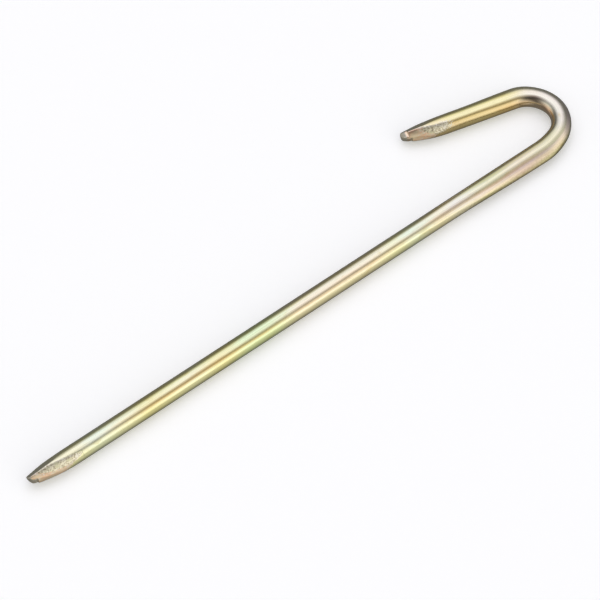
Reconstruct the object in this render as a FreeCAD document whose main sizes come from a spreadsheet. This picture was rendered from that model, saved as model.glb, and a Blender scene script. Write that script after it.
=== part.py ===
"""A J-hook ground stake: one round steel bar, bent back into a hook and forged to a blunt point at both ends.

The stake lies on its side. +X runs along the shank from the driven point to the hook, +Y is the side that
the hook's arm is on, and +Z is up. The origin is the middle of the stake's footprint, on the surface that
it lies on. Lengths are in millimetres and angles in degrees.
"""

import FreeCAD
import Part
import Sketcher
import math
import os
from FreeCAD import Vector

# Every driving dimension, as alias, value and what it is.
DIMENSIONS = (
    ("bar_diameter", 9.0, "diameter of the round bar"),
    ("overall_length", 300.0, "driven end to the outside of the bend"),
    ("entry_radius", 32.0, "centreline radius where the shank enters the bend"),
    ("entry_turn", 20.0, "turn of the entry, over which the swelling dies away"),
    ("apex_radius", 12.4, "centreline radius over the mandrel"),
    ("apex_turn", 82.0, "turn over the mandrel"),
    ("exit_radius", 15.8, "centreline radius where the bend leaves the mandrel"),
    ("exit_turn", 64.0, "turn of the exit"),
    ("arm_length", 54.3, "end of the bend to the end of the arm"),
    ("entry_swell_run", 58.0, "straight stretch that swells towards the bend"),
    ("entry_swell_width", 10.35, "width of the bar at the start of the bend"),
    ("exit_swell_run", 28.0, "straight stretch of the arm that the other swelling takes"),
    ("exit_swell_turn", 40.0, "turn over which the other swelling builds up"),
    ("exit_swell_width", 9.65, "width of the bar at the end of the bend"),
    ("swell_height", 8.5, "height of the bar where it is widest"),
    ("facet_radius", 300.0, "lengthwise curve of every forged facet"),
    ("facet_margin", 0.15, "how far outside the bar each facet's profile starts"),
    ("nose_radius", 3.6, "rounding of each blunt end"),
)

# The two points, as which end of the path each is on, its facets and the roundings of its blunt end.
# Angles are around the bar from straight up (+Z), and positive towards the side away from the arm (-Y).
# A facet has a name, its normal's angle, how far from the end it starts, and its depth at the end. A
# rounding has a name, the angle of its own up direction, and how far up its crown is from the bar's axis.
POINTS = {
    "driven_point": ("start", (
        ("top_inner", -48.0, 18.5, 1.95),
        ("top_outer", 40.0, 23.1, 2.45),
        ("under_inner", -135.0, 23.0, 2.25),
        ("under_outer", 135.0, 24.0, 3.25),
        ("nose", 60.0, 18.2, 3.50),
    ), (
        ("upright", 0.0, 0.87),
        ("level", -90.0, 2.35),
    )),
    "arm_point": ("end", (
        ("top_inner", -48.0, 20.1, 1.95),
        ("top_outer", 42.0, 19.5, 2.35),
        ("under_inner", -135.0, 20.0, 2.20),
        ("under_outer", 135.0, 19.2, 3.10),
        ("nose", 57.0, 15.0, 3.95),
    ), (
        ("upright", 0.0, -1.57),
        ("level", -90.0, 2.70),
    )),
}

FACET_COLUMNS = ("angle", "start", "depth")
ROUNDING_COLUMNS = ("angle", "crown")
CUT_OVERRUN = 3.0
CUT_WIDTH = 24.0
SWELL_STEPS = 4

doc = FreeCAD.newDocument("ground_stake")
sheet = doc.addObject("Spreadsheet::Sheet", "sizes")


def fill_sheet():
    """Writes each driving dimension to a row of the sheet, under its alias."""
    rows = list(DIMENSIONS)
    for point, (_, facets, roundings) in POINTS.items():
        for columns, cuts in ((FACET_COLUMNS, facets), (ROUNDING_COLUMNS, roundings)):
            for name, *values in cuts:
                for column, value in zip(columns, values):
                    rows.append((f"{point}_{name}_{column}", value, f"{column} of the {point}'s {name} cut"))
    for row, (alias, value, note) in enumerate(rows, start=1):
        sheet.set(f"A{row}", note)
        sheet.set(f"B{row}", str(value))
        sheet.setAlias(f"B{row}", alias)
    doc.recompute()


def size(alias):
    """The number that the sheet holds under an alias."""
    return float(sheet.get(alias))


def heading(angle):
    """The unit vector at an angle from +X, in the plane of the hook."""
    return Vector(math.cos(math.radians(angle)), math.sin(math.radians(angle)), 0)


def path_runs():
    """The centreline's runs in order: name, arc radius or None, and turn or length."""
    rise = size("entry_radius") * math.sin(math.radians(size("entry_turn")))
    rise += size("apex_radius") * (1 - math.sin(math.radians(size("entry_turn"))))
    bend_start = size("overall_length") - size("bar_diameter") / 2 - rise
    return (
        ("shank", None, bend_start - size("entry_swell_run")),
        ("entry_swell", None, size("entry_swell_run")),
        ("entry", size("entry_radius"), size("entry_turn")),
        ("apex", size("apex_radius"), size("apex_turn")),
        ("exit", size("exit_radius"), size("exit_turn") - size("exit_swell_turn")),
        ("exit_end", size("exit_radius"), size("exit_swell_turn")),
        ("arm_swell", None, size("exit_swell_run")),
        ("arm", None, size("arm_length") - size("exit_swell_run")),
    )


# What drives each run's length or turn, and each arc's radius.
TURN_OR_LENGTH = {
    "entry_swell": "sizes.entry_swell_run",
    "entry": "sizes.entry_turn",
    "apex": "sizes.apex_turn",
    "exit": "sizes.exit_turn - sizes.exit_swell_turn",
    "exit_end": "sizes.exit_swell_turn",
    "arm_swell": "sizes.exit_swell_run",
    "arm": "sizes.arm_length - sizes.exit_swell_run",
}
RADIUS = {
    "entry": "sizes.entry_radius",
    "apex": "sizes.apex_radius",
    "exit": "sizes.exit_radius",
    "exit_end": "sizes.exit_radius",
}


def origin_plane(body, role):
    """One of the body's own origin planes."""
    return next(feature for feature in body.Origin.OriginFeatures if feature.Role == role)


def bind(sketch, constraint, name, expression):
    """Adds a constraint under a name and drives it from the sheet."""
    sketch.renameConstraint(sketch.addConstraint(constraint), name)
    if expression:
        sketch.setExpression(f"Constraints.{name}", expression)


def draw_path(body):
    """The bar's centreline, as straight runs and arcs that meet in tangents, in the plane of the hook."""
    sketch = body.newObject("Sketcher::SketchObject", "centreline")
    sketch.AttachmentSupport = [(origin_plane(body, "XY_Plane"), "")]
    sketch.MapMode = "FlatFace"
    point, angle = Vector(0, 0, 0), 0.0
    for name, radius, amount in path_runs():
        if radius is None:
            end = point + heading(angle) * amount
            index = sketch.addGeometry(Part.LineSegment(point, end), False)
            kind = "Distance"
        else:
            centre = point + heading(angle + 90) * radius
            circle = Part.Circle(centre, Vector(0, 0, 1), radius)
            start = math.radians(angle - 90)
            arc = Part.ArcOfCircle(circle, start, start + math.radians(amount))
            index = sketch.addGeometry(arc, False)
            kind = "Angle"
            angle += amount
            end = centre + heading(angle - 90) * radius
            bind(sketch, Sketcher.Constraint("Radius", index, radius), f"{name}_radius", RADIUS[name])
        if index:
            sketch.addConstraint(Sketcher.Constraint("Tangent", index - 1, 2, index, 1))
        if name in TURN_OR_LENGTH:
            value = amount if kind == "Distance" else math.radians(amount)
            bind(sketch, Sketcher.Constraint(kind, index, value), f"{name}_size", TURN_OR_LENGTH[name])
        if name == "apex":
            reach = "sizes.overall_length - sizes.bar_diameter / 2 - sizes.apex_radius"
            place = Sketcher.Constraint("DistanceX", -1, 1, index, 3, centre.x)
            bind(sketch, place, "apex_centre_reach", reach)
        point = end
    sketch.addConstraint(Sketcher.Constraint("Coincident", 0, 1, -1, 1))
    sketch.addConstraint(Sketcher.Constraint("Horizontal", 0))
    doc.recompute()
    return sketch


def run_edge(run):
    """The path sketch's edge for a run."""
    names = [name for name, _, _ in path_runs()]
    return f"Edge{names.index(run) + 1}"


def across_path(body, path, name, run, share):
    """An empty sketch square to the path, part of the way along a run, with its x to the bend's outer side."""
    sketch = body.newObject("Sketcher::SketchObject", name)
    sketch.AttachmentSupport = [(path, run_edge(run))]
    sketch.MapMode = "NormalToEdge"
    sketch.MapPathParameter = share
    return sketch


def round_section(body, path, name, run, share):
    """The bar's round section."""
    sketch = across_path(body, path, name, run, share)
    radius = size("bar_diameter") / 2
    sketch.addGeometry(Part.Circle(Vector(0, 0, 0), Vector(0, 0, 1), radius), False)
    sketch.addConstraint(Sketcher.Constraint("Coincident", 0, 3, -1, 1))
    bind(sketch, Sketcher.Constraint("Diameter", 0, 2 * radius), "diameter", "sizes.bar_diameter")
    return sketch


def oval_section(body, path, name, run, share, width_alias, amount):
    """A section that is wider than the bar towards the bend's outer side and lower, by a share of the swelling."""
    sketch = across_path(body, path, name, run, share)
    bar = "sizes.bar_diameter"
    wide = f"({bar} + {amount} * (sizes.{width_alias} - {bar}))"
    low = f"({bar} + {amount} * (sizes.swell_height - {bar}))"
    diameter = size("bar_diameter")
    width = diameter + amount * (size(width_alias) - diameter)
    height = diameter + amount * (size("swell_height") - diameter)
    shift = (width - diameter) / 2
    ellipse = Part.Ellipse(Vector(shift + width / 2, 0, 0), Vector(shift, height / 2, 0), Vector(shift, 0, 0))
    sketch.addGeometry(ellipse, False)
    sketch.exposeInternalGeometry(0)
    major_axis, minor_axis = 1, 2
    sketch.addConstraint(Sketcher.Constraint("Horizontal", major_axis))
    sketch.addConstraint(Sketcher.Constraint("PointOnObject", 0, 3, -1))
    bind(sketch, Sketcher.Constraint("DistanceX", -1, 1, 0, 3, shift), "shift", f"({wide} - {bar}) / 2")
    bind(sketch, Sketcher.Constraint("Distance", major_axis, width), "width", wide)
    bind(sketch, Sketcher.Constraint("Distance", minor_axis, height), "height", low)
    return sketch


def sweep_round(body, path, name, runs):
    """Sweeps the round section along some of the path's runs."""
    pipe = body.newObject("PartDesign::AdditivePipe", name)
    pipe.Profile = round_section(body, path, f"{name}_section", runs[0], 0.0)
    pipe.Spine = (path, [run_edge(run) for run in runs])
    pipe.Transition = "Transformed"
    doc.recompute()


def loft_run(body, path, run, width_alias, growing):
    """Lofts one run of the path, as the bar swells along it or the swelling dies away."""
    sections = []
    for step in range(SWELL_STEPS + 1):
        share = step / SWELL_STEPS
        level = share if growing else 1 - share
        name = f"{run}_section_{step}"
        if level > 0:
            amount = round((1 - math.cos(math.pi * level)) / 2, 4)
            sections.append(oval_section(body, path, name, run, share, width_alias, amount))
        else:
            sections.append(round_section(body, path, name, run, share))
    loft = body.newObject("PartDesign::AdditiveLoft", f"{run}_loft")
    loft.Profile = sections[0]
    loft.Sections = sections[1:]
    doc.recompute()


def along_point(body, path, name, end, angle):
    """An empty sketch along the bar's axis: x runs from the end into the bar, and y leans by the angle."""
    at_start = end == "start"
    sketch = across_path(body, path, name, "shank" if at_start else "arm", 0.0 if at_start else 1.0)
    turn, lean = (90, "-") if at_start else (-90, "")
    offset = f"rotation(vector(0; 0; 1); {lean}({angle})) * rotation(vector(0; 1; 0); {turn})"
    sketch.setExpression("AttachmentOffset", f"placement(vector(0; 0; 0); {offset})")
    doc.recompute()
    return sketch


def cut(body, sketch, name):
    """Cuts a sketch's outline right through the bar, and makes sure that it took something away."""
    before = body.Shape.Volume
    pocket = body.newObject("PartDesign::Pocket", name)
    pocket.Profile = sketch
    pocket.Midplane = True
    pocket.Length = CUT_WIDTH
    doc.recompute()
    if not pocket.Shape.Volume < before:
        raise RuntimeError(f"{name} cut nothing")


def outline(sketch, corners):
    """Draws lines through corners after any edge that is there, and joins all of the edges into a loop."""
    for start, stop in zip(corners, corners[1:]):
        sketch.addGeometry(Part.LineSegment(start, stop), False)
    count = sketch.GeometryCount
    for index in range(count):
        sketch.addConstraint(Sketcher.Constraint("Coincident", index, 2, (index + 1) % count, 1))


def square_lines(sketch, directions):
    """Holds the lines after a sketch's first edge level or upright."""
    for index, direction in enumerate(directions, start=1):
        sketch.addConstraint(Sketcher.Constraint(direction, index))


def facet(body, path, point, end, name):
    """One long forged facet of a point, as a shallow arc from just outside the bar down to the end."""
    alias = f"{point}_{name}"
    sketch = along_point(body, path, alias, end, f"sizes.{alias}_angle")
    margin, depth, start = size("facet_margin"), size(f"{alias}_depth"), size(f"{alias}_start")
    radius, top = size("facet_radius"), size("bar_diameter") / 2 + size("facet_margin")
    high, low = Vector(start * (depth + margin) / depth, top, 0), Vector(0, top - margin - depth, 0)
    chord = high - low
    across = Vector(-chord.y, chord.x, 0).normalize()
    centre = (high + low) / 2 - across * math.sqrt(radius ** 2 - (chord.Length / 2) ** 2)
    angles = [math.atan2(corner.y - centre.y, corner.x - centre.x) for corner in (high, low)]
    sketch.addGeometry(Part.ArcOfCircle(Part.Circle(centre, Vector(0, 0, 1), radius), *angles), False)
    ceiling = top + CUT_OVERRUN
    outline(sketch, [low, Vector(-CUT_OVERRUN, low.y, 0), Vector(-CUT_OVERRUN, ceiling, 0),
                     Vector(high.x, ceiling, 0), high])
    bind(sketch, Sketcher.Constraint("Radius", 0, radius), "radius", "sizes.facet_radius")
    run = f"sizes.{alias}_start * (sizes.{alias}_depth + sizes.facet_margin) / sizes.{alias}_depth"
    bind(sketch, Sketcher.Constraint("DistanceX", -1, 1, 0, 1, high.x), "run", run)
    crown = "sizes.bar_diameter / 2 + sizes.facet_margin"
    bind(sketch, Sketcher.Constraint("DistanceY", -1, 1, 0, 1, top), "crown", crown)
    wall = f"sizes.{alias}_depth + sizes.facet_margin + {CUT_OVERRUN}"
    bind(sketch, Sketcher.Constraint("DistanceY", 2, 1, 2, 2, ceiling - low.y), "wall", wall)
    sketch.addConstraint(Sketcher.Constraint("PointOnObject", 0, 2, -2))
    square_lines(sketch, ("Horizontal", "Vertical", "Horizontal", "Vertical"))
    sketch.addConstraint(Sketcher.Constraint("DistanceX", 1, 2, 1, 1, CUT_OVERRUN))
    sketch.addConstraint(Sketcher.Constraint("DistanceY", 4, 2, 4, 1, CUT_OVERRUN))
    cut(body, sketch, f"{alias}_facet")


def rounding(body, path, point, end, name):
    """Rounds a blunt end in one plane, down to an arc that only just touches the end of the path."""
    alias = f"{point}_{name}"
    sketch = along_point(body, path, alias, end, f"sizes.{alias}_angle")
    radius, reach, crown = size("nose_radius"), size("bar_diameter"), size(f"{alias}_crown")
    circle = Part.Circle(Vector(radius, crown, 0), Vector(0, 0, 1), radius)
    sketch.addGeometry(Part.ArcOfCircle(circle, math.pi / 2, 3 * math.pi / 2), False)
    over, under = Vector(radius, crown + radius, 0), Vector(radius, crown - radius, 0)
    outline(sketch, [under, Vector(radius, -reach, 0), Vector(-CUT_OVERRUN, -reach, 0),
                     Vector(-CUT_OVERRUN, reach, 0), Vector(radius, reach, 0), over])
    bind(sketch, Sketcher.Constraint("Radius", 0, radius), "radius", "sizes.nose_radius")
    bind(sketch, Sketcher.Constraint("DistanceX", -1, 1, 0, 3, radius), "setback", "sizes.nose_radius")
    lower, upper = ((0, 3), (-1, 1)) if crown < 0 else ((-1, 1), (0, 3))
    lift = Sketcher.Constraint("DistanceY", *lower, *upper, abs(crown))
    bind(sketch, lift, "crown", f"abs(sizes.{alias}_crown)")
    sketch.addConstraint(Sketcher.Constraint("Vertical", 0, 1, 0, 3))
    sketch.addConstraint(Sketcher.Constraint("Vertical", 0, 2, 0, 3))
    square_lines(sketch, ("Vertical", "Horizontal", "Vertical", "Horizontal", "Vertical"))
    bind(sketch, Sketcher.Constraint("DistanceY", 2, 1, -1, 1, reach), "under", "sizes.bar_diameter")
    bind(sketch, Sketcher.Constraint("DistanceY", -1, 1, 4, 1, reach), "over", "sizes.bar_diameter")
    sketch.addConstraint(Sketcher.Constraint("DistanceX", 3, 1, -1, 1, CUT_OVERRUN))
    cut(body, sketch, f"{alias}_rounding")


def check_features():
    """Stops if any object of the document failed to recompute, or any sketch isn't held by its dimensions."""
    for item in doc.Objects:
        if "Invalid" in item.State or "Error" in item.State:
            raise RuntimeError(f"{item.Label} failed: {item.State}")
        if item.isDerivedFrom("Sketcher::SketchObject") and not item.FullyConstrained:
            raise RuntimeError(f"{item.Label} isn't fully constrained")


def stake_bar():
    """The whole stake, which is one bar."""
    body = doc.addObject("PartDesign::Body", "stake_bar")
    body.Label = "stake_bar"
    path = draw_path(body)
    sweep_round(body, path, "shank", ["shank"])
    loft_run(body, path, "entry_swell", "entry_swell_width", True)
    loft_run(body, path, "entry", "entry_swell_width", False)
    sweep_round(body, path, "bend", ["apex", "exit"])
    loft_run(body, path, "exit_end", "exit_swell_width", True)
    loft_run(body, path, "arm_swell", "exit_swell_width", False)
    sweep_round(body, path, "arm", ["arm"])
    for point, (end, facets, roundings) in POINTS.items():
        for name, *_ in facets:
            facet(body, path, point, end, name)
        for name, *_ in roundings:
            rounding(body, path, point, end, name)
    box = body.Shape.optimalBoundingBox(False)
    body.Placement.Base = Vector(-box.Center.x, -box.Center.y, size("bar_diameter") / 2)
    doc.recompute()
    return body


def write_parts(bodies):
    """Writes one STEP file for each sub-part, once its shape is known to be good."""
    os.makedirs("parts", exist_ok=True)
    for body in bodies:
        shape = body.Shape
        if shape.isNull() or not shape.isValid() or len(shape.Solids) != 1:
            raise RuntimeError(f"{body.Label} isn't one valid solid")
        shape.exportStep(f"parts/{body.Label}.step")
        box = shape.optimalBoundingBox(False)
        low = f"{box.XMin:.3f}, {box.YMin:.3f}, {box.ZMin:.3f}"
        high = f"{box.XMax:.3f}, {box.YMax:.3f}, {box.ZMax:.3f}"
        print(f"{body.Label}: {shape.Volume:.1f} mm3, from {low} to {high}")


fill_sheet()
stake = stake_bar()
check_features()
write_parts([stake])
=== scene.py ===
"""The looks of a J-hook ground stake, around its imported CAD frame.

The scene is in metres. The bar's own skin is worked out in millimetres, as on a straightened bar: how far
along its axis from the driven end, how far towards the outer side of the bend, and how far up.
"""

import math

import bpy
import numpy as np
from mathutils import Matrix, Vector, noise


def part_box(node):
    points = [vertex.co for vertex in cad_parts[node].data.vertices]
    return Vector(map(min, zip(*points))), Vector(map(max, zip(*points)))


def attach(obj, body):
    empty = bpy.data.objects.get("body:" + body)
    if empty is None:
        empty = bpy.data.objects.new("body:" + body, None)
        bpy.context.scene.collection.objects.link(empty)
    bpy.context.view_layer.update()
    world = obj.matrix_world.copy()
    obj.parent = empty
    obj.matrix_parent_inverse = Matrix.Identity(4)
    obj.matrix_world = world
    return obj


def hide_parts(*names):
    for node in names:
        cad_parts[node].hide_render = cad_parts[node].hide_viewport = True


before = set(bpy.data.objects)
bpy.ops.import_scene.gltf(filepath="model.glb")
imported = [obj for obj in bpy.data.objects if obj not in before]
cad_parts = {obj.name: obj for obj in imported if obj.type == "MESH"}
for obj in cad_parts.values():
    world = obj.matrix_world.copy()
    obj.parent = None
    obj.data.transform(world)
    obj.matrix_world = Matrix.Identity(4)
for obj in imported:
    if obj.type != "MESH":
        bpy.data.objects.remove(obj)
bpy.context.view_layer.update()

MM = 0.001

# The bar and its route, in millimetres and degrees: the CAD model's driving dimensions, except that its first
# swelling falls away over the entry's whole turn, which is less than ENTRY_SWELL_FALL.
BAR_DIAMETER = 9.0
OVERALL_LENGTH = 300.0
ENTRY_RADIUS, ENTRY_TURN = 32.0, 20.0
APEX_RADIUS, APEX_TURN = 12.4, 82.0
EXIT_RADIUS, EXIT_TURN = 15.8, 64.0
ARM_LENGTH = 54.3
ENTRY_SWELL_RUN, ENTRY_SWELL_FALL, ENTRY_SWELL_WIDTH = 58.0, 19.0, 10.35
EXIT_SWELL_RUN, EXIT_SWELL_TURN, EXIT_SWELL_WIDTH = 28.0, 40.0, 9.65
SWELL_HEIGHT = 8.5

# The egg shape of the section by the bend, which the CAD model doesn't have: how strong it is, how much of it
# is taken off the height so that the bar grows no taller, and how far before and after the shank's end it
# reaches.
EGG, EGG_LIFT, EGG_RUN, EGG_FALL = 0.40, 0.2, 75.0, 26.0

# The forged facets of each point: the angle of the normal from straight up towards -Y, how far from the end
# the facet starts, its depth at the end, its curve across and along, as radii, and its finish. The smooth
# ones keep the plain bar's finish.
FLAT, SLACK, BELLIED = (30.0, 300.0), (14.0, 200.0), (7.5, 80.0)
DRIVEN_FACETS = (
    (-48.0, 18.0, 1.90, FLAT, "smooth"),
    (40.0, 23.1, 2.40, SLACK, "coarse"),
    (-135.0, 23.0, 2.15, SLACK, "coarse"),
    (135.0, 24.0, 3.20, SLACK, "coarse"),
    (60.0, 18.2, 3.35, BELLIED, "rolled"),
)
ARM_FACETS = (
    (-48.0, 20.1, 1.93, FLAT, "smooth"),
    (42.0, 19.5, 2.30, SLACK, "coarse"),
    (-135.0, 20.0, 2.15, SLACK, "coarse"),
    (135.0, 19.2, 3.10, SLACK, "coarse"),
    (57.0, 15.0, 3.80, BELLIED, "rolled"),
)

# The rounding of each blunt end, as seen from the side and from above: its radius and its middle's offset.
DRIVEN_NOSE = ((2.8, 0.87), (3.5, 2.35))
ARM_NOSE = ((3.3, -1.57), (4.3, 2.70))

# The mesh: segments around the bar, the largest steps along it, how much each step may grow on the last, how
# much of each end is a point, where its nose's rays start and how many rings they make, and how many halvings
# find where a ray meets the surface.
SEGMENTS = 96
POINT_STEP, BEND_STEP, BAR_STEP = 0.17, 0.5, 1.0
STEP_GROWTH = 0.05
POINT_LENGTH = 26.0
NOSE_CENTRE = 6.0
NOSE_RINGS = 44
SURFACE_SEARCHES = 20

# How far the edges between a point's surfaces are eased.
EDGE_BLEND = 0.35

# Each relief's depth in millimetres, and how finely its noise is spaced along the bar and across it, per mm.
WAVES = (0.030, Vector((0.07, 0.30, 0.30)))
FORGED = (0.095, Vector((1.1, 1.5, 1.5)))
FINE_FORGED = (0.050, Vector((2.4, 3.0, 3.0)))
ROLLED = (0.060, Vector((0.35, 0.9, 0.9)))
TORN = (0.080, Vector((1.3, 1.3, 1.3)))

# The turbulent reliefs: how many octaves they have, and the noise that leaves the skin level.
OCTAVES = 3
TURBULENT_MIDDLE = 0.4

# What the mesh says of each place on a point: how much of it each finish, the torn end and a worn edge take.
# Each fades out as its surface goes under another, and the torn end reaches only so far in from the end.
WEIGHTS = ("coarse", "rolled", "end", "edge")
FINISH_BLEND = 0.22
END_BLEND = 0.3
EDGE_WIDTH = 0.10
DRIVEN_END_REACH, ARM_END_REACH, END_FADE = 8.0, 2.8, 1.2

# How far apart noise is taken for places whose patterns should differ.
SEED_GAP = 500.0

# The studio, as soft panels around the bar that it reflects: the direction of each panel's middle as an
# angle from straight up towards -Y and a lean towards +X, its half angles that way and along the bar, how
# far its edges fade each way as a share of those, its brightness and its colour. The last takes light away.
PANELS = (
    (-18.0, 10.0, 33.0, 35.0, 0.65, 0.90, (1.0, 1.0, 1.20)),
    (61.0, 18.0, 23.0, 30.0, 0.50, 0.76, (1.01, 1.0, 1.0)),
    (98.0, 14.0, 34.0, 12.0, 0.86, 0.50, (1.01, 1.0, 0.92)),
    (80.0, 53.0, 53.0, 21.0, 0.93, 0.27, (1.0, 1.0, 0.92)),
    (88.0, -30.0, 28.0, 18.0, 0.80, 0.52, (1.04, 0.97, 0.90)),
    (-45.0, -66.0, 34.0, 18.0, 0.80, 0.64, (1.0, 1.0, 1.0)),
    (30.0, -27.0, 19.0, 17.0, 0.80, -0.125, (1.0, 1.0, 1.0)),
)

# A panel is cut off at a right angle from its middle, and whole where the cosine from its middle is this.
PANEL_HORIZON = 0.1

# The light from everywhere else, and what the camera sees past the floor.
AMBIENT = 0.15
PALE_SURROUNDINGS = (0.96, 0.96, 0.96)

# The floor, and the lamp over it: metres, and watts.
FLOOR_HALF_WIDTH = 6.0
FLOOR_COLOUR = (0.9, 0.9, 0.86)
FLOOR_ROUGHNESS = 0.9
FLOOR_GLOW = 0.30
FLOOR_LAMP_SIZE, FLOOR_LAMP_HEIGHT, FLOOR_LAMP_WATTS = 3.0, 1.6, 9.0

# The colours of the plating's film, and where each is, by distance along the bar from the driven end.
PALE_GREEN = (0.89, 0.92, 0.68)
STRAW = (0.94, 0.90, 0.58)
GOLD = (0.95, 0.87, 0.47)
LEAF_GREEN = (0.85, 0.92, 0.55)
ROSE = (0.96, 0.86, 0.61)
ROSE_SILVER = (0.91, 0.84, 0.68)
CREAM = (0.94, 0.89, 0.70)
KHAKI = (0.88, 0.84, 0.66)
AMBER = (0.95, 0.84, 0.50)
FILM = (
    (0.0, CREAM), (20.0, STRAW), (35.0, PALE_GREEN), (50.0, STRAW), (63.0, GOLD),
    (85.0, STRAW), (100.0, GOLD), (113.0, LEAF_GREEN), (128.0, LEAF_GREEN), (142.0, ROSE),
    (162.0, ROSE), (182.0, ROSE), (194.0, STRAW), (205.0, PALE_GREEN), (218.0, ROSE),
    (231.0, ROSE_SILVER), (248.0, STRAW), (264.0, ROSE), (282.0, STRAW), (295.0, KHAKI),
    (308.0, CREAM), (330.0, GOLD), (348.0, GOLD), (362.0, AMBER), (376.0, CREAM),
)
FILM_WANDER = 12.0

# Streaks that tint the film: their angle around the bar and half width, where along it they begin and end,
# and their tint. Angles are from straight up towards the bend's outer side. Most are the film's own colours.
# The dark ones by and inside the bend are painted shade, and the orange ones inside the bend are a painted
# reflection of the bend in itself.
STREAKS = (
    (28.0, 15.0, 44.0, 275.0, (1.0, 0.90, 0.80)),  # a rosy line along the shank
    (75.0, 32.0, 0.0, 290.0, (0.93, 0.93, 0.80)),  # the shank's outer flank, yellower
    (-8.0, 20.0, 30.0, 260.0, (0.95, 1.0, 1.0)),  # the shank's top, cooler
    (-100.0, 40.0, 20.0, 260.0, (0.97, 0.92, 0.82)),  # the shank's inner flank, warmer
    (165.0, 40.0, 0.0, 377.0, (0.92, 0.98, 0.86)),  # the whole underside, greener
    (-80.0, 50.0, 278.0, 330.0, (1.0, 0.84, 0.74)),  # the inside of the bend, orange: a painted reflection of the bend in itself
    (-28.0, 14.0, 318.0, 366.0, (0.98, 0.84, 0.66)),  # a bronze line along the arm
    (-52.0, 18.0, 320.0, 377.0, (1.0, 0.88, 0.84)),  # a rosy line under it
    (-84.0, 26.0, 322.0, 377.0, (0.92, 0.80, 0.66)),  # the arm's inner flank, browner
    (10.0, 22.0, 282.0, 320.0, (1.0, 0.97, 1.0)),  # the top of the bend, pinker
    (50.0, 26.0, 238.0, 300.0, (1.03, 0.91, 1.14)),  # mauve, above the outer flank by the bend
    (-60.0, 24.0, 298.0, 308.0, (1.02, 0.86, 0.78)),  # a painted orange glint inside the bend, its reflection of itself
    (28.0, 12.0, 60.0, 130.0, (1.0, 0.88, 0.74)),  # the rosy line, stronger
    (-31.0, 36.0, 238.0, 294.0, (0.66, 0.66, 0.67)),  # painted shade above the inner flank by the bend, dimming its highlight
    (98.0, 40.0, 236.0, 296.0, (0.48, 0.44, 0.43)),  # painted shade, dark, on the outer flank by the bend
    (-38.0, 24.0, 309.0, 317.0, (0.50, 0.42, 0.42)),  # painted shade, a dark patch inside the bend by the arm
    (-23.0, 17.0, 18.0, 284.0, (1.0, 0.97, 0.76)),  # a yellow line along the shank
    (22.0, 18.0, 322.0, 368.0, (0.96, 0.95, 0.76)),  # a yellow line along the arm
)
STREAK_FADE = 10.0
STREAK_SWING = 0.25

# Two stretches placed like streaks: sandy spots on the outer flank by the bend, and the arm's coarse finish
# where it spreads past its facet.
SANDY = (90.0, 36.0, 222.0, 292.0)
ARM_SPECKLED = (-42.0, 40.0, 355.0, 367.0)

# The finish's patterns: how finely each noise is spaced along the bar and across it, per mm, and its detail.
FILM_DRIFT = ((0.05, 0.20, 0.20), 3.0)
STREAK_WANDER = ((0.03, 0.05, 0.05), 2.0)
DRAWN_LINES = ((0.03, 2.2, 2.2), 4.0)
MOTTLE = ((0.35, 0.7, 0.7), 4.0)
STAINS = ((0.10, 0.25, 0.25), 5.0)
SPECKLE = ((1.3, 1.7, 1.7), 3.0)
PATCHES = ((0.35, 0.5, 0.5), 3.0)
FLOW = ((0.16, 0.9, 0.9), 4.0)
PITS = ((2.5, 3.5, 3.5), 2.0)

# Where on its noise, from 0 to 1, each change of colour begins and ends.
DRAWN_STEP = (0.45, 0.75)
MOTTLE_STEP = (0.50, 0.75)
STAIN_STEP = (0.60, 0.72)
SANDY_STEP = (0.42, 0.56)
SPECK_STEP = (0.38, 0.58)
PATCH_STEP = (0.52, 0.70)
FLOW_STEP = (0.35, 0.65)
PINK_STEP = (0.62, 0.70)
WORN_STEP = (0.40, 0.60)

# How far noise shifts the edge of a finish, and where on the result the finish begins and is whole.
RAGGED = 1.1
RAGGED_STEP = (0.35, 0.60)

# Tints of the film, then the colours of the coarse facets, the rolled ones, the torn ends and worn edges.
DRAWN_SHADE = (0.91, 0.90, 0.88)
MOTTLE_SHADE = (0.95, 0.94, 0.92)
STAIN_SHADE = (0.94, 0.88, 0.76)
SANDY_SHADE = (0.84, 0.81, 0.78)
DARK_SPECK, PALE_SPECK, DUN = (0.58, 0.50, 0.33), (1.0, 0.93, 0.70), (0.84, 0.80, 0.52)
RUSSET, ORANGE, PINK_WHITE = (1.0, 0.68, 0.44), (1.0, 0.84, 0.58), (1.0, 0.95, 0.90)
END_DARK, END_PALE = (0.66, 0.60, 0.46), (0.96, 0.91, 0.76)
WORN_EDGE, WORN_SHARE = (0.94, 0.89, 0.76), 0.6

# The plating's roughness, and what its drawn lines and each finish add.
ROUGHNESS, DRAWN_ROUGHNESS = 0.15, 0.14
COARSE_ROUGHNESS, ROLLED_ROUGHNESS, END_ROUGHNESS = 0.12, 0.10, 0.35

# The bump of pits and drawn lines: the lines' share of the pits' height, the bump's strength, and its height
# in metres.
DRAWN_BUMP, BUMP_STRENGTH, BUMP_DISTANCE = 0.5, 0.25, 0.00006

# The camera: its lens and sensor in millimetres, its direction from its target, and its places in metres.
LENS_MM = 343.4
SENSOR_MM = 36.0
VIEW_AZIMUTH = math.radians(-36.58)
VIEW_ELEVATION = math.radians(61.0)
VIEW_DISTANCE = 2.5
VIEW_TARGET = Vector((-0.00213, -0.01435, 0.0))
CLIP_START, CLIP_END = 0.01, 20.0

# A Mix node's colour sockets: the two that go in, and the one that comes out.
MIX_FIRST, MIX_SECOND, MIX_RESULT = 6, 7, 2


# ---------------------------------------------------------------- the bar's route

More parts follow.
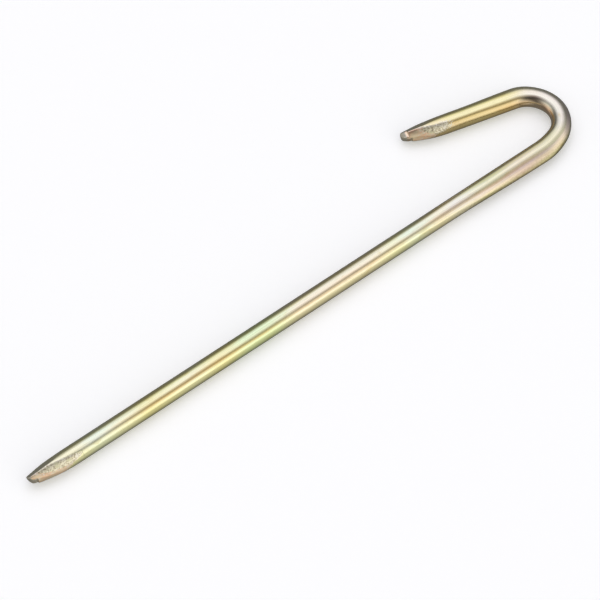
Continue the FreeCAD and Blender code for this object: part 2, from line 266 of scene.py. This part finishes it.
def route():
    """The centreline's runs in order, as centreline radius (None if straight) and length."""
    entry, apex, leave = (math.radians(turn) for turn in (ENTRY_TURN, APEX_TURN, EXIT_TURN))
    reach = ENTRY_RADIUS * math.sin(entry) + APEX_RADIUS * (1 - math.sin(entry))
    shank = OVERALL_LENGTH - BAR_DIAMETER / 2 - reach
    return (
        (None, shank),
        (ENTRY_RADIUS, ENTRY_RADIUS * entry),
        (APEX_RADIUS, APEX_RADIUS * apex),
        (EXIT_RADIUS, EXIT_RADIUS * leave),
        (None, ARM_LENGTH),
    )


RUNS = route()
SHANK_LENGTH = RUNS[0][1]
ARM_START = sum(length for _, length in RUNS[:-1])
BAR_LENGTH = ARM_START + ARM_LENGTH


def heading(angle):
    """The unit vector at an angle from +X, in the plane of the hook."""
    return Vector((math.cos(angle), math.sin(angle), 0))


def along_route(distance):
    """The centreline's point and heading angle, some way along it from the driven end."""
    point, angle = Vector((0, 0, 0)), 0.0
    for radius, length in RUNS:
        part = min(distance, length)
        if radius is None:
            point = point + heading(angle) * part
        else:
            centre = point + heading(angle + math.pi / 2) * radius
            angle += part / radius
            point = centre + heading(angle - math.pi / 2) * radius
        distance -= part
        if distance <= 0:
            break
    return point, angle


def raised_cosine(share):
    """A smooth rise from 0 to 1."""
    return (1 - math.cos(math.pi * min(max(share, 0.0), 1.0))) / 2


def swelling(distance):
    """The bar's width and height some way along it: it is wider and lower on each side of the bend."""
    exit_start = ARM_START - EXIT_RADIUS * math.radians(EXIT_SWELL_TURN)
    if distance < exit_start:
        rise = (distance - SHANK_LENGTH + ENTRY_SWELL_RUN) / ENTRY_SWELL_RUN
        fall = (SHANK_LENGTH + ENTRY_SWELL_FALL - distance) / ENTRY_SWELL_FALL
        amount, width = raised_cosine(min(rise, fall)), ENTRY_SWELL_WIDTH
    else:
        rise = (distance - exit_start) / (ARM_START - exit_start)
        fall = (ARM_START + EXIT_SWELL_RUN - distance) / EXIT_SWELL_RUN
        amount, width = raised_cosine(min(rise, fall)), EXIT_SWELL_WIDTH
    return (BAR_DIAMETER + amount * (width - BAR_DIAMETER),
            BAR_DIAMETER + amount * (SWELL_HEIGHT - BAR_DIAMETER))


def egg_share(distance):
    """How egg-shaped the bar's section is: thick on the bend's inner side, and thin on its outer side."""
    rise = (distance - SHANK_LENGTH + EGG_RUN) / EGG_RUN
    fall = (SHANK_LENGTH + EGG_FALL - distance) / EGG_FALL
    return EGG * raised_cosine(min(rise, fall))


# ---------------------------------------------------------------- the forged points

def smooth_max(first, second):
    """The larger of two distances, with the crossing eased over EDGE_BLEND."""
    overlap = np.maximum(EDGE_BLEND - np.abs(first - second), 0) / EDGE_BLEND
    return np.maximum(first, second) + overlap ** 2 * EDGE_BLEND / 4


def facet_height(depth_in, start, depth, along_radius):
    """How far a facet is from the bar's axis, at a distance in from the end."""
    share = depth_in / start
    bulge = start ** 2 / (8 * along_radius)
    return BAR_DIAMETER / 2 - depth * (1 - share) + 4 * bulge * share * (1 - share)


def nose_distance(depth_in, offset, radius, crown):
    """How far places are outside the rounding of a blunt end, in the plane that the rounding is seen in."""
    rounded = np.hypot(depth_in - radius, offset - crown) - radius
    return np.where(depth_in < radius, rounded, -radius)


def point_limits(facets, nose, places):
    """How far places are outside each surface of a point: the bar, each facet, then the blunt end."""
    depth_in, side, up = places[..., 0], places[..., 1], places[..., 2]
    limits = [np.hypot(side, up) - BAR_DIAMETER / 2]
    for angle, start, depth, (across_radius, along_radius), _ in facets:
        lean = math.radians(angle)
        centre = facet_height(depth_in, start, depth, along_radius) - across_radius
        limits.append(np.hypot(side - centre * math.sin(lean), up - centre * math.cos(lean)) - across_radius)
    upright, level = nose
    limits.append(smooth_max(nose_distance(depth_in, up, *upright), nose_distance(depth_in, -side, *level)))
    return limits


def point_distance(facets, nose, places):
    """How far places are outside a point's whole surface, with its edges eased."""
    limits = point_limits(facets, nose, places)
    total = limits[0]
    for limit in limits[1:]:
        total = smooth_max(total, limit)
    return total


def point_rays(side_sign):
    """The rays that meet a point's surface, from its nose to the round bar, as starts and ways."""
    starts, ways = [], []
    around = [2 * math.pi * segment / SEGMENTS for segment in range(SEGMENTS)]
    for ring in range(NOSE_RINGS):
        polar = math.pi / 2 * (ring + 0.5) / NOSE_RINGS
        starts.append([(NOSE_CENTRE, 0, 0)] * SEGMENTS)
        ways.append([(-math.cos(polar), side_sign * math.sin(polar) * math.sin(angle),
                      math.sin(polar) * math.cos(angle)) for angle in around])
    depth_in = NOSE_CENTRE
    while depth_in < POINT_LENGTH:
        starts.append([(depth_in, 0, 0)] * SEGMENTS)
        ways.append([(0, side_sign * math.sin(angle), math.cos(angle)) for angle in around])
        depth_in += POINT_STEP
    return np.array(starts), np.array(ways)


def reach_surface(facets, nose, starts, ways):
    """Where rays from inside a point meet its surface, found by halving."""
    near = np.zeros(starts.shape[:-1])
    far = np.full(starts.shape[:-1], BAR_DIAMETER)
    for _ in range(SURFACE_SEARCHES):
        middle = (near + far) / 2
        outside = point_distance(facets, nose, starts + ways * middle[..., None]) > 0
        near, far = np.where(outside, near, middle), np.where(outside, middle, far)
    return near


def finish_weights(facets, nose, end_reach, places):
    """How much of places on a point each finish takes; past its reach, the blunt end is rolled, not torn."""
    limits = point_limits(facets, nose, places)
    highest = np.max(limits, axis=0)
    weights = {name: np.zeros(highest.shape) for name in WEIGHTS}
    for limit, (*_, finish) in zip(limits[1:-1], facets):
        if finish in weights:
            share = np.clip(1 - (highest - limit) / FINISH_BLEND, 0, 1)
            weights[finish] = np.maximum(weights[finish], share)
    blunt = np.clip(1 - (highest - limits[-1]) / END_BLEND, 0, 1)
    near = np.clip((end_reach - places[..., 0]) / END_FADE, 0, 1)
    weights["end"] = blunt * near
    weights["rolled"] = np.maximum(weights["rolled"], blunt * (1 - near))
    close = sum(np.clip(1 - (highest - limit) / EDGE_WIDTH, 0, 1) for limit in limits)
    weights["edge"] = np.clip(close - 1, 0, 1)
    return weights


def relief(place, depth, spacing, turbulent=False):
    """How far one noise pattern sinks the skin at a place; a turbulent one leaves its middle level."""
    scaled = Vector(place) * spacing
    if turbulent:
        return depth * (min(noise.turbulence(scaled, OCTAVES, True), 1.0) - TURBULENT_MIDDLE)
    return depth * (0.5 + 0.5 * noise.noise(scaled))


def skin_depth(place, weights):
    """How far the finished skin lies under the plain shape at a place."""
    sunk = relief(place, *WAVES)
    sunk += weights["coarse"] * (relief(place, *FORGED, True) + relief(place, *FINE_FORGED))
    sunk += weights["rolled"] * relief(place, *ROLLED)
    sunk += weights["end"] * relief(place, *TORN, True)
    return sunk


def point_rings(facets, nose, at_arm):
    """A point's rings from its nose to the round bar: straight-bar places, and weights for each."""
    starts, ways = point_rays(-1 if at_arm else 1)
    reach = reach_surface(facets, nose, starts, ways)
    places = starts + ways * reach[..., None]
    weights = finish_weights(facets, nose, ARM_END_REACH if at_arm else DRIVEN_END_REACH, places)
    rings = []
    for ring in range(len(places)):
        row = []
        for segment in range(SEGMENTS):
            depth_in, side, up = places[ring, segment]
            mine = {name: float(values[ring, segment]) for name, values in weights.items()}
            seed = (depth_in + (SEED_GAP if at_arm else 0.0), side, up)
            way = ways[ring, segment] * skin_depth(seed, mine)
            depth_in, side, up = places[ring, segment] - way
            straight = (BAR_LENGTH - depth_in, -side, up) if at_arm else (depth_in, side, up)
            row.append((straight, mine))
        rings.append(row)
    return rings


def bar_rings():
    """The plain bar's rings between the two points, in steps that are finer at the points and in the bend."""
    plain = {name: 0.0 for name in WEIGHTS}
    rings = []
    distance, step = POINT_LENGTH, POINT_STEP
    while distance < BAR_LENGTH - POINT_LENGTH:
        width, height = swelling(distance)
        shift = (width - BAR_DIAMETER) / 2
        egg = egg_share(distance)
        row = []
        for segment in range(SEGMENTS):
            angle = 2 * math.pi * segment / SEGMENTS
            round_way = Vector((0, math.sin(angle), math.cos(angle)))
            rise = height / 2 * round_way.z * (1 - egg * round_way.y) / (1 + EGG_LIFT * egg)
            place = Vector((distance, shift + width / 2 * round_way.y, rise))
            row.append((tuple(place - round_way * skin_depth(place, plain)), plain))
        rings.append(row)
        left = BAR_LENGTH - POINT_LENGTH - distance
        largest = BEND_STEP if distance > SHANK_LENGTH else BAR_STEP
        step = min(step * (1 + STEP_GROWTH), largest, POINT_STEP + left * STEP_GROWTH)
        distance += step
    return rings


def in_row_frame(straight, origin):
    """A straight-bar place, bent round the route and put in the scene."""
    distance, outward, up = straight
    inside = min(max(distance, 0.0), BAR_LENGTH)
    point, angle = along_route(inside)
    point = point + heading(angle) * (distance - inside) + heading(angle - math.pi / 2) * outward
    return origin + Vector((point.x, point.y, up)) * MM


def bar_origin():
    """Where the straight bar's driven end is in the scene, from the CAD solid's box."""
    low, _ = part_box("stake_bar")
    outer_edge = ENTRY_SWELL_WIDTH - BAR_DIAMETER / 2
    return Vector((low[0], low[1] + outer_edge * MM, low[2] + BAR_DIAMETER / 2 * MM))


def skin_faces(ring_count, driven_nose, arm_nose):
    """The faces between the rings, and a fan that closes each nose."""
    faces = []
    for ring in range(ring_count - 1):
        here, there = ring * SEGMENTS, (ring + 1) * SEGMENTS
        for segment in range(SEGMENTS):
            beside = (segment + 1) % SEGMENTS
            faces.append((here + segment, there + segment, there + beside, here + beside))
    last = (ring_count - 1) * SEGMENTS
    for segment in range(SEGMENTS):
        beside = (segment + 1) % SEGMENTS
        faces.append((segment, beside, driven_nose))
        faces.append((last + beside, last + segment, arm_nose))
    return faces


def make_bar():
    """The bar's skin: rings of one size all the way along it, closed at each nose."""
    rings = point_rings(DRIVEN_FACETS, DRIVEN_NOSE, False)
    rings += bar_rings()
    rings += reversed(point_rings(ARM_FACETS, ARM_NOSE, True))
    places = [straight for row in rings for straight, _ in row]
    weights = [mine for row in rings for _, mine in row]
    driven_nose, arm_nose = len(places), len(places) + 1
    for row in (rings[0], rings[-1]):
        middle = sum((Vector(straight) for straight, _ in row), Vector()) / SEGMENTS
        places.append(tuple(middle))
        weights.append(row[0][1])
    faces = skin_faces(len(rings), driven_nose, arm_nose)
    origin = bar_origin()
    mesh = bpy.data.meshes.new("stake_skin")
    mesh.from_pydata([in_row_frame(straight, origin) for straight in places], [], faces)
    mesh.polygons.foreach_set("use_smooth", [True] * len(faces))
    straight_bar = mesh.attributes.new("straight_bar", "FLOAT_VECTOR", "POINT")
    straight_bar.data.foreach_set("vector", [value for straight in places for value in straight])
    for name in WEIGHTS:
        values = mesh.attributes.new(name, "FLOAT", "POINT")
        values.data.foreach_set("value", [mine[name] for mine in weights])
    bar = bpy.data.objects.new("stake_skin", mesh)
    bpy.context.scene.collection.objects.link(bar)
    return bar


# ---------------------------------------------------------------- nodes

def node(tree, kind, inputs=None, **settings):
    """A new node with its settings made, and each input set to a value or linked from a socket."""
    made = tree.nodes.new("ShaderNode" + kind)
    for name, value in settings.items():
        setattr(made, name, value)
    for name, value in (inputs or {}).items():
        if isinstance(value, bpy.types.NodeSocket):
            tree.links.new(value, made.inputs[name])
        else:
            made.inputs[name].default_value = value
    return made


def calculate(tree, operation, *values, clamp=False):
    """The result of a Math node."""
    return node(tree, "Math", dict(enumerate(values)), operation=operation, use_clamp=clamp).outputs[0]


def dot(tree, socket, vector):
    """How far a vector socket points along a vector."""
    return node(tree, "VectorMath", {0: socket, 1: vector}, operation="DOT_PRODUCT").outputs["Value"]


def ease(tree, socket, low, high):
    """A smooth step from 0 where the socket is at low to 1 where it is at high."""
    inputs = {"Value": socket, "From Min": low, "From Max": high}
    return node(tree, "MapRange", inputs, interpolation_type="SMOOTHSTEP").outputs["Result"]


def blend(tree, factor, first, second):
    """One colour blended into another."""
    first, second = (colour if isinstance(colour, bpy.types.NodeSocket) else (*colour, 1)
                     for colour in (first, second))
    inputs = {0: factor, MIX_FIRST: first, MIX_SECOND: second}
    return node(tree, "Mix", inputs, data_type="RGBA").outputs[MIX_RESULT]


def tint(tree, factor, colour, by):
    """A colour multiplied by another, as far as the factor says."""
    inputs = {0: factor, MIX_FIRST: colour, MIX_SECOND: (*by, 1)}
    return node(tree, "Mix", inputs, data_type="RGBA", blend_type="MULTIPLY").outputs[MIX_RESULT]


# ---------------------------------------------------------------- stage

def make_camera():
    """The photograph's viewpoint: a long lens, from well above and from the driven point's side."""
    data = bpy.data.cameras.new("camera")
    data.lens = LENS_MM
    data.sensor_width = SENSOR_MM
    data.clip_start = CLIP_START
    data.clip_end = CLIP_END
    back = Vector((math.sin(VIEW_AZIMUTH) * math.cos(VIEW_ELEVATION),
                   -math.cos(VIEW_AZIMUTH) * math.cos(VIEW_ELEVATION),
                   math.sin(VIEW_ELEVATION)))
    camera = bpy.data.objects.new("camera", data)
    camera.location = VIEW_TARGET + back * VIEW_DISTANCE
    camera.rotation_mode = "QUATERNION"
    camera.rotation_quaternion = (-back).to_track_quat("-Z", "Y")
    bpy.context.scene.collection.objects.link(camera)
    bpy.context.scene.camera = camera


def make_floor():
    """A plain pale floor."""
    size = FLOOR_HALF_WIDTH
    mesh = bpy.data.meshes.new("floor")
    corners = [(-size, -size, 0), (size, -size, 0), (size, size, 0), (-size, size, 0)]
    mesh.from_pydata(corners, [], [(0, 1, 2, 3)])
    floor = bpy.data.objects.new("floor", mesh)
    bpy.context.scene.collection.objects.link(floor)
    material = bpy.data.materials.new("floor")
    material.use_nodes = True
    shader = material.node_tree.nodes["Principled BSDF"]
    shader.inputs["Base Color"].default_value = (*FLOOR_COLOUR, 1)
    shader.inputs["Roughness"].default_value = FLOOR_ROUGHNESS
    shader.inputs["Emission Color"].default_value = (1, 1, 1, 1)
    shader.inputs["Emission Strength"].default_value = FLOOR_GLOW
    mesh.materials.append(material)
    floor.visible_glossy = False


def panel_light(tree, direction, across_angle, lean_angle, half_across, half_along, fade, strength, colour):
    """The light of one soft panel in every direction, as a colour socket."""
    across, lean = math.radians(across_angle), math.radians(lean_angle)
    middle = (math.sin(lean), -math.cos(lean) * math.sin(across), math.cos(lean) * math.cos(across))
    across_way = (0.0, -math.cos(across), -math.sin(across))
    along_way = Vector(across_way).cross(Vector(middle))
    towards = dot(tree, direction, middle)
    light = ease(tree, towards, 0.0, PANEL_HORIZON)
    for way, half in ((across_way, half_across), (tuple(along_way), half_along)):
        offset = calculate(tree, "ABSOLUTE", dot(tree, direction, way))
        angle = calculate(tree, "ARCTAN2", offset, towards)
        edge = math.radians(half)
        inside = ease(tree, angle, edge * (1 + fade), edge * (1 - fade))
        light = calculate(tree, "MULTIPLY", light, inside)
    tinted = [strength * channel for channel in colour]
    return node(tree, "VectorMath", {0: tinted, "Scale": light}, operation="SCALE").outputs["Vector"]


def make_world():
    """Soft panels for the metal to reflect, and a pale surrounding where the camera sees past the floor."""
    world = bpy.data.worlds.new("world")
    world.use_nodes = True
    tree = world.node_tree
    tree.nodes.clear()
    direction = node(tree, "TexCoord").outputs["Generated"]
    light = (AMBIENT, AMBIENT, AMBIENT)
    for panel in PANELS:
        glow = panel_light(tree, direction, *panel)
        light = node(tree, "VectorMath", {0: light, 1: glow}, operation="ADD").outputs["Vector"]
    seen = node(tree, "LightPath").outputs["Is Camera Ray"]
    colour = blend(tree, seen, light, PALE_SURROUNDINGS)
    background = node(tree, "Background", {"Color": colour})
    node(tree, "OutputWorld", {"Surface": background.outputs[0]})
    bpy.context.scene.world = world


def make_floor_lamp():
    """A wide soft lamp overhead that lights the floor; the metal reflects the panels instead of it."""
    data = bpy.data.lights.new("floor_lamp", "AREA")
    data.size = FLOOR_LAMP_SIZE
    data.energy = FLOOR_LAMP_WATTS
    lamp = bpy.data.objects.new("floor_lamp", data)
    lamp.location = (0, 0, FLOOR_LAMP_HEIGHT)
    lamp.visible_glossy = False
    bpy.context.scene.collection.objects.link(lamp)


# ---------------------------------------------------------------- the plated finish

def noise_value(tree, place, spacing, detail, offset=0.0):
    """Noise from 0 to 1 at a place, with its own spacing along the bar and across it, per mm."""
    inputs = {0: place, 1: spacing, 2: (offset, offset, offset)}
    spaced = node(tree, "VectorMath", inputs, operation="MULTIPLY_ADD").outputs["Vector"]
    return node(tree, "TexNoise", {"Vector": spaced, "Scale": 1.0, "Detail": detail}).outputs["Fac"]


def ragged(tree, weight, noise_fac):
    """A weight with its edge broken up by noise."""
    lowered = calculate(tree, "SUBTRACT", weight, RAGGED / 2)
    shaken = calculate(tree, "MULTIPLY_ADD", noise_fac, RAGGED, lowered)
    return ease(tree, shaken, *RAGGED_STEP)


def streak(tree, place, along, around, seed, angle, spread, begin, finish):
    """How much of a place one wandering streak along the bar takes."""
    bend = noise_value(tree, place, *STREAK_WANDER, seed * SEED_GAP)
    lean = calculate(tree, "MULTIPLY_ADD", bend, 2 * STREAK_SWING, -STREAK_SWING - math.radians(angle))
    turned = calculate(tree, "COSINE", calculate(tree, "ADD", around, lean))
    amount = ease(tree, turned, math.cos(math.radians(spread)), 1.0)
    fade = min(STREAK_FADE, (finish - begin) / 2)
    for limit, way in ((begin, 1), (finish, -1)):
        faded = ease(tree, along, limit - way * fade, limit + way * fade)
        amount = calculate(tree, "MULTIPLY", amount, faded)
    return amount


def film_and_painted_light_colour(tree, place, along, around):
    """The plating's film: straw to gold, green and rose, drifting along the bar and streaked around it, with
    painted shade and a painted orange reflection by the bend.
    """
    drift = noise_value(tree, place, *FILM_DRIFT)
    wander = calculate(tree, "MULTIPLY_ADD", drift, 2 * FILM_WANDER, -FILM_WANDER)
    share = calculate(tree, "DIVIDE", calculate(tree, "ADD", along, wander), BAR_LENGTH)
    ramp = tree.nodes.new("ShaderNodeValToRGB")
    ramp.color_ramp.interpolation = "EASE"
    stops = ramp.color_ramp.elements
    while len(stops) < len(FILM):
        stops.new(0.5)
    for stop, (distance, colour) in zip(stops, FILM):
        stop.position = distance / BAR_LENGTH
        stop.color = (*colour, 1)
    tree.links.new(share, ramp.inputs["Fac"])
    colour = ramp.outputs["Color"]
    for seed, (*where, by) in enumerate(STREAKS, start=1):
        colour = tint(tree, streak(tree, place, along, around, seed, *where), colour, by)
    return colour


def plain_colour(tree, place, along, around, drawn, speckle):
    """The plain bar's colour: the film with its painted shade and reflection by the bend, drawn lines, a
    mottle, stains and a sandy stretch by the bend.
    """
    colour = film_and_painted_light_colour(tree, place, along, around)
    colour = tint(tree, ease(tree, drawn, *DRAWN_STEP), colour, DRAWN_SHADE)
    mottle = noise_value(tree, place, *MOTTLE)
    colour = tint(tree, ease(tree, mottle, *MOTTLE_STEP), colour, MOTTLE_SHADE)
    stain = noise_value(tree, place, *STAINS)
    colour = tint(tree, ease(tree, stain, *STAIN_STEP), colour, STAIN_SHADE)
    stretch = streak(tree, place, along, around, 0, *SANDY)
    sandy = calculate(tree, "MULTIPLY", stretch, ease(tree, speckle, *SANDY_STEP))
    return tint(tree, sandy, colour, SANDY_SHADE)


def coarse_colour(tree, place, speckle):
    """The coarse facets' colour: dark specks in pale, with dun patches."""
    patches = noise_value(tree, place, *PATCHES)
    speckled = blend(tree, ease(tree, speckle, *SPECK_STEP), DARK_SPECK, PALE_SPECK)
    return blend(tree, ease(tree, patches, *PATCH_STEP), speckled, DUN)


def rolled_colour(tree, place, speckle):
    """The rolled facets' colour: russet to orange along the flow of the metal, with pinkish white spots."""
    flow = noise_value(tree, place, *FLOW)
    flowed = blend(tree, ease(tree, flow, *FLOW_STEP), RUSSET, ORANGE)
    return blend(tree, ease(tree, speckle, *PINK_STEP), flowed, PINK_WHITE)


def point_weights(tree, place, along, around, speckle):
    """How much of a place the coarse and rolled finishes, the torn end and a worn edge take, ragged."""
    coarse, rolled, end, edge = (node(tree, "Attribute", attribute_name=name).outputs["Fac"]
                                 for name in WEIGHTS)
    stretch = streak(tree, place, along, around, 0, *ARM_SPECKLED)
    coarse = calculate(tree, "MAXIMUM", coarse, stretch)
    return [ragged(tree, weight, speckle) for weight in (coarse, rolled, end, edge)]


def finished_roughness(tree, drawn, coarse, rolled, end):
    """The roughness of the plain bar, its points' finishes and its torn ends."""
    rough = calculate(tree, "MULTIPLY_ADD", drawn, DRAWN_ROUGHNESS, ROUGHNESS)
    rough = calculate(tree, "MULTIPLY_ADD", coarse, COARSE_ROUGHNESS, rough)
    rough = calculate(tree, "MULTIPLY_ADD", rolled, ROLLED_ROUGHNESS, rough)
    return calculate(tree, "MULTIPLY_ADD", end, END_ROUGHNESS, rough, clamp=True)


def pitted_normal(tree, place, drawn):
    """The normal, as fine pits and drawn lines tilt it."""
    height = calculate(tree, "MULTIPLY_ADD", drawn, DRAWN_BUMP, noise_value(tree, place, *PITS))
    inputs = {"Height": height, "Strength": BUMP_STRENGTH, "Distance": BUMP_DISTANCE}
    return node(tree, "Bump", inputs).outputs["Normal"]


def plated_material():
    """Yellow zinc plating on drawn steel, with coarse and rolled facets at its points, and painted shade and
    reflection by the bend.
    """
    material = bpy.data.materials.new("plated_bar")
    material.use_nodes = True
    tree = material.node_tree
    shader = tree.nodes["Principled BSDF"]
    place = node(tree, "Attribute", attribute_name="straight_bar").outputs["Vector"]
    along, outward, up = node(tree, "SeparateXYZ", {0: place}).outputs
    around = calculate(tree, "ARCTAN2", outward, up)
    drawn = noise_value(tree, place, *DRAWN_LINES)
    speckle = noise_value(tree, place, *SPECKLE)
    coarse, rolled, end, edge = point_weights(tree, place, along, around, speckle)
    worn = calculate(tree, "MULTIPLY", edge, ease(tree, speckle, *WORN_STEP))

    colour = plain_colour(tree, place, along, around, drawn, speckle)
    colour = blend(tree, coarse, colour, coarse_colour(tree, place, speckle))
    colour = blend(tree, rolled, colour, rolled_colour(tree, place, speckle))
    colour = blend(tree, end, colour, blend(tree, speckle, END_DARK, END_PALE))
    colour = blend(tree, calculate(tree, "MULTIPLY", worn, WORN_SHARE), colour, WORN_EDGE)
    tree.links.new(colour, shader.inputs["Base Color"])
    tree.links.new(finished_roughness(tree, drawn, coarse, rolled, end), shader.inputs["Roughness"])
    tree.links.new(pitted_normal(tree, place, drawn), shader.inputs["Normal"])
    shader.inputs["Metallic"].default_value = 1.0
    return material


bar = make_bar()
bar.data.materials.append(plated_material())
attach(bar, "root")
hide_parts("stake_bar")
make_camera()
make_floor()
make_floor_lamp()
make_world()
bpy.context.scene.view_settings.view_transform = "Standard"
